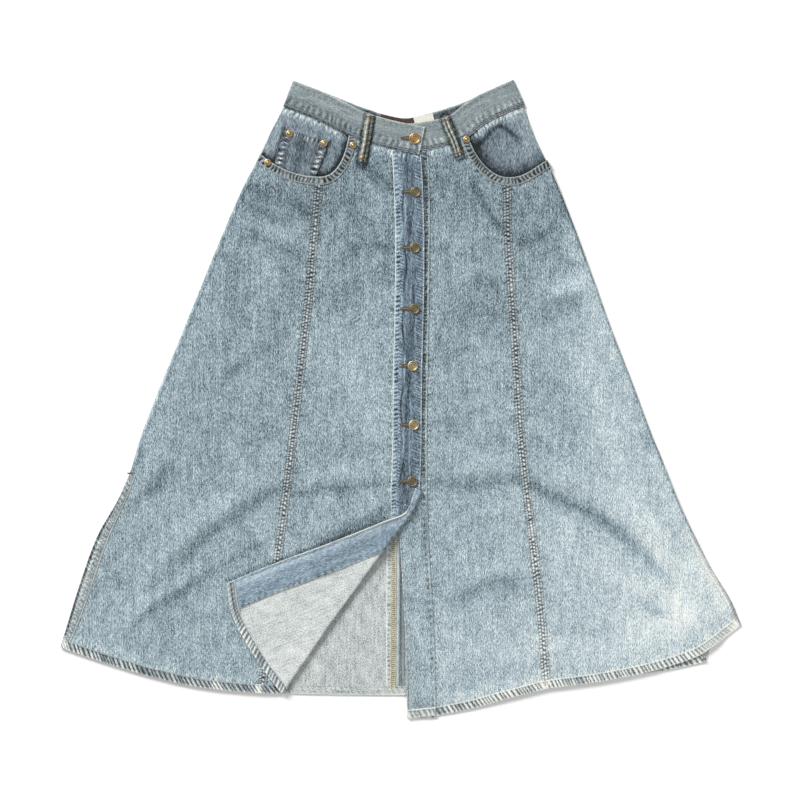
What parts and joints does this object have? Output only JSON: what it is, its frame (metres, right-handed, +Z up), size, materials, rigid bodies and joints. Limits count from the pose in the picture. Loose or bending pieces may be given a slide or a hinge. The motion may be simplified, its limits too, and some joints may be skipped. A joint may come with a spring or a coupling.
{
  "type": "button-front denim skirt",
  "caption": "Flared midi skirt in washed denim, laid flat on its back, with a buttoned front, scoop pockets and one lower front corner turned back.",
  "frame": {"origin": "on the surface that the skirt lies on, under the middle of its outline", "axes": "+Z up from the surface, +Y towards the waist, +X towards the wearer's left"},
  "size_m": [1.0215, 0.9589, 0.0181],
  "materials": {
    "denim": "stone-washed light blue cotton twill, matte",
    "dark_denim": "less worn blue cotton twill, matte",
    "denim_inside": "pale inside of the twill, matte",
    "button_metal": "worn antique brass plate",
    "rivet_metal": "worn coppery plate",
    "inner_label": "dark brown, bare",
    "care_label": "off-white woven tape, bare"
  },
  "bodies": {
    "root": {"front_right_side_panel": "denim", "front_left_side_panel": "denim", "front_left_centre_panel": "denim", "front_right_centre_panel": "denim", "right_princess_seam": "denim", "left_princess_seam": "denim", "right_pocket_edge": "denim", "left_pocket_edge": "denim", "waistband": "denim", "right_belt_loop": "denim", "left_belt_loop": "denim", "right_pocket_facing": "dark_denim", "left_pocket_facing": "dark_denim", "coin_pocket": "dark_denim", "placket_facing": "dark_denim", "back_right_panel": "denim_inside", "back_left_panel": "denim_inside", "back_centre_seam": "denim_inside", "waist_button": "button_metal", "front_button_1": "button_metal", "front_button_2": "button_metal", "front_button_3": "button_metal", "front_button_4": "button_metal", "front_button_5": "button_metal", "front_button_6": "button_metal", "right_pocket_side_rivet": "rivet_metal", "right_pocket_waist_rivet": "rivet_metal", "left_pocket_waist_rivet": "rivet_metal", "coin_pocket_side_rivet": "rivet_metal", "coin_pocket_front_rivet": "rivet_metal", "inner_label": "inner_label", "care_label": "care_label"}
  },
  "joints": []
}
